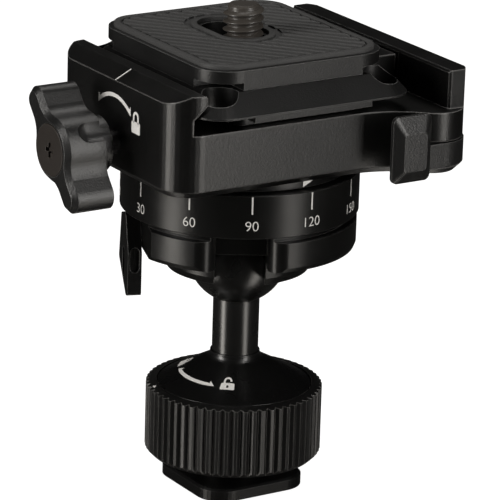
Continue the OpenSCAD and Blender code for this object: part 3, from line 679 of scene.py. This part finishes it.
def drawn_line(name, points):
    """A line in the upright plane: one vertex, pulled out from point to point."""
    bpy.ops.object.select_all(action="DESELECT")
    bpy.ops.mesh.primitive_plane_add(size=1 * mm)
    line = start_piece(name)
    bpy.ops.mesh.merge(type="CENTER")
    bpy.ops.transform.translate(value=(points[0][0], 0, points[0][1]))
    for (r0, z0), (r1, z1) in zip(points, points[1:]):
        bpy.ops.mesh.extrude_region_move(TRANSFORM_OT_translate={"value": (r1 - r0, 0, z1 - z0)})
    return line


def merge_ends():
    """Merges points of the open piece that lie on one another."""
    bpy.ops.mesh.select_all(action="SELECT")
    bpy.ops.mesh.remove_doubles(threshold=2 * weld)


def turned(name, points, steps=64):
    """A turned solid: its half section, spun once round the axis and closed."""
    solid = drawn_line(name, points)
    bpy.ops.mesh.select_all(action="SELECT")
    bpy.ops.mesh.spin(steps=steps, angle=2 * math.pi, center=(0, 0, 0), axis=(0, 0, 1))
    merge_ends()
    close_piece()
    return solid


ridge = [(sunk_r, -ridge_half), (thread_r - crest_cut, -shoulder_half), (thread_r, -crest_half),
         (thread_r, crest_half), (thread_r - crest_cut, shoulder_half), (sunk_r, ridge_half),
         (sunk_r, -ridge_half)]
first_z = thread_top - thread_end - thread_turns * thread_pitch - ridge_half
thread = drawn_line("thread", [(r, first_z + z) for r, z in ridge])
merge_ends()
bpy.ops.object.mode_set(mode="OBJECT")
winding = thread.modifiers.new("winding", "SCREW")
winding.screw_offset = thread_pitch
winding.iterations = thread_turns
winding.steps = thread_steps
winding.render_steps = thread_steps
bpy.ops.object.modifier_apply(modifier=winding.name)
bpy.ops.object.mode_set(mode="EDIT")
bpy.ops.mesh.select_all(action="SELECT")
bpy.ops.mesh.fill_holes(sides=len(ridge))
close_piece()
thread.data.transform(Matrix.Rotation(thread_start, 4, "Z"))

bolt = turned("slotted_bolt", [
    (0, bolt_low.z), (bolt_head_r - head_low_edge, bolt_low.z),
    (bolt_head_r, bolt_low.z + head_low_edge), (bolt_head_r, bolt_head_z - head_top_edge),
    (bolt_head_r - head_top_edge, bolt_head_z), (neck_r, bolt_head_z),
    (neck_r, thread_z), (root_r, thread_z + neck_step),
    (root_r, thread_top - thread_point), (root_r - thread_point, thread_top), (0, thread_top)])
bpy.ops.object.select_all(action="DESELECT")
bpy.ops.mesh.primitive_cube_add(size=1)
coin_slot = start_piece("coin_slot")
bpy.ops.transform.resize(value=(coin_l, coin_w, coin_h))
bpy.ops.transform.translate(value=(0, 0, bolt_low.z))
bpy.ops.object.mode_set(mode="OBJECT")
carve(bolt, coin_slot, "DIFFERENCE")

hold(bolt, thread)
bpy.ops.object.join()
bolt.data.transform(Matrix.Translation((bolt_x, 0, 0)))
bpy.ops.object.shade_smooth_by_angle(angle=crease)
bolt.data.materials.clear()
bolt.data.materials.append(oiled)
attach(bolt, "camera_bolt")
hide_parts("camera_screw")


# Stage, light and camera
# A pale floor that runs out of sight, two tall strip lights, and a weak box above and behind.
# The camera is a long lens at the front left, a little above the clamp.

floor_w = 6
floor_drop = 0.05 * mm
bpy.ops.mesh.primitive_plane_add(size=floor_w, location=(0, 0, -floor_drop))
floor = bpy.context.object
floor.name = "floor"
floor_paint = bpy.data.materials.new("floor_white")
floor_paint.use_nodes = True
floor_nodes = floor_paint.node_tree.nodes
floor_link = floor_paint.node_tree.links.new
floor_plain = floor_nodes["Principled BSDF"]
floor_plain.inputs["Base Color"].default_value = (0.4, 0.4, 0.4, 1)
floor_plain.inputs["Roughness"].default_value = 0.9
floor_plain.inputs["Specular IOR Level"].default_value = 0
floor_plain.inputs["Emission Color"].default_value = (1, 1, 1, 1)
floor_plain.inputs["Emission Strength"].default_value = 0.92
floor_sheen = floor_nodes.new("ShaderNodeBsdfGlossy")
floor_sheen.inputs["Color"].default_value = (0.52, 0.51, 0.49, 1)
floor_sheen.inputs["Roughness"].default_value = 0.2
floor_rays = floor_nodes.new("ShaderNodeLightPath")
floor_through = floor_nodes.new("ShaderNodeMath")
floor_through.operation = "MAXIMUM"
mirrored_share = 0.01
floor_share = floor_nodes.new("ShaderNodeMath")
floor_share.operation = "MULTIPLY_ADD"
floor_share.inputs[1].default_value = mirrored_share
floor_mix = floor_nodes.new("ShaderNodeMixShader")
floor_link(floor_rays.outputs["Is Camera Ray"], floor_through.inputs[0])
floor_link(floor_rays.outputs["Is Transmission Ray"], floor_through.inputs[1])
floor_link(floor_rays.outputs["Is Glossy Ray"], floor_share.inputs[0])
floor_link(floor_through.outputs["Value"], floor_share.inputs[2])
floor_link(floor_share.outputs["Value"], floor_mix.inputs["Fac"])
floor_link(floor_sheen.outputs["BSDF"], floor_mix.inputs[1])
floor_link(floor_plain.outputs["BSDF"], floor_mix.inputs[2])
floor_link(floor_mix.outputs["Shader"], floor_nodes["Material Output"].inputs["Surface"])
floor.data.materials.append(floor_paint)

world = bpy.data.worlds.new("studio")
bpy.context.scene.world = world
world.use_nodes = True
world_nodes = world.node_tree.nodes
world_link = world.node_tree.links.new
sky = world_nodes["Background"]
sky.inputs["Color"].default_value = (1, 1, 1, 1)
sky_rays = world_nodes.new("ShaderNodeLightPath")
sky_level = world_nodes.new("ShaderNodeMapRange")
sky_level.inputs["To Min"].default_value = 0.004
sky_level.inputs["To Max"].default_value = 1
world_link(sky_rays.outputs["Is Camera Ray"], sky_level.inputs["Value"])
world_link(sky_level.outputs["Result"], sky.inputs["Strength"])

aim = Vector((0, 0, 45 * mm))
lamp_colour = (1, 0.975, 0.94)
strip_h = 0.5
strip_z = strip_h / 2 + 5 * mm


def soft_box(name, azimuth, elevation, distance, width, height, power):
    """A soft box facing the head. Azimuth 0 is in front of the clamp, and grows to the right."""
    turn, lift = math.radians(azimuth), math.radians(elevation)
    flat = math.cos(lift)
    way = Vector((math.sin(turn) * flat, -math.cos(turn) * flat, math.sin(lift)))
    lamp = bpy.data.lights.new(name, "AREA")
    lamp.shape = "RECTANGLE"
    lamp.size = width
    lamp.size_y = height
    lamp.energy = power
    lamp.color = lamp_colour
    box = bpy.data.objects.new(name, lamp)
    bpy.context.collection.objects.link(box)
    box.location = aim + way * distance
    box.rotation_euler = way.to_track_quat("Z", "Y").to_euler()
    return box


def strip_light(name, azimuth, distance, width, power):
    """A tall soft box that stands just above the floor."""
    strip = soft_box(name, azimuth, 0, distance, width, strip_h, power)
    strip.location.z = strip_z


soft_box("top_box", azimuth=150, elevation=68, distance=0.8, width=0.4, height=0.4, power=2.1)
strip_light("left_strip", azimuth=-97, distance=0.6, width=0.15, power=3.5)
strip_light("right_strip", azimuth=18, distance=0.3, width=0.08, power=1)

view = bpy.data.cameras.new("view")
view.sensor_width = 36
view.lens = 267.3
view.clip_start = 0.05
view.clip_end = 20
camera = bpy.data.objects.new("camera", view)
bpy.context.collection.objects.link(camera)
camera.location = (-298.14 * mm, -472.1 * mm, 219.9 * mm)
sight = Vector((0.51061, 0.80237, -0.309))
camera_roll = math.radians(1.74)
level = sight.to_track_quat("-Z", "Y").to_matrix()
camera.rotation_euler = (level @ Matrix.Rotation(camera_roll, 3, "Z")).to_euler()
bpy.context.scene.camera = camera
bpy.context.scene.view_settings.view_transform = "Standard"
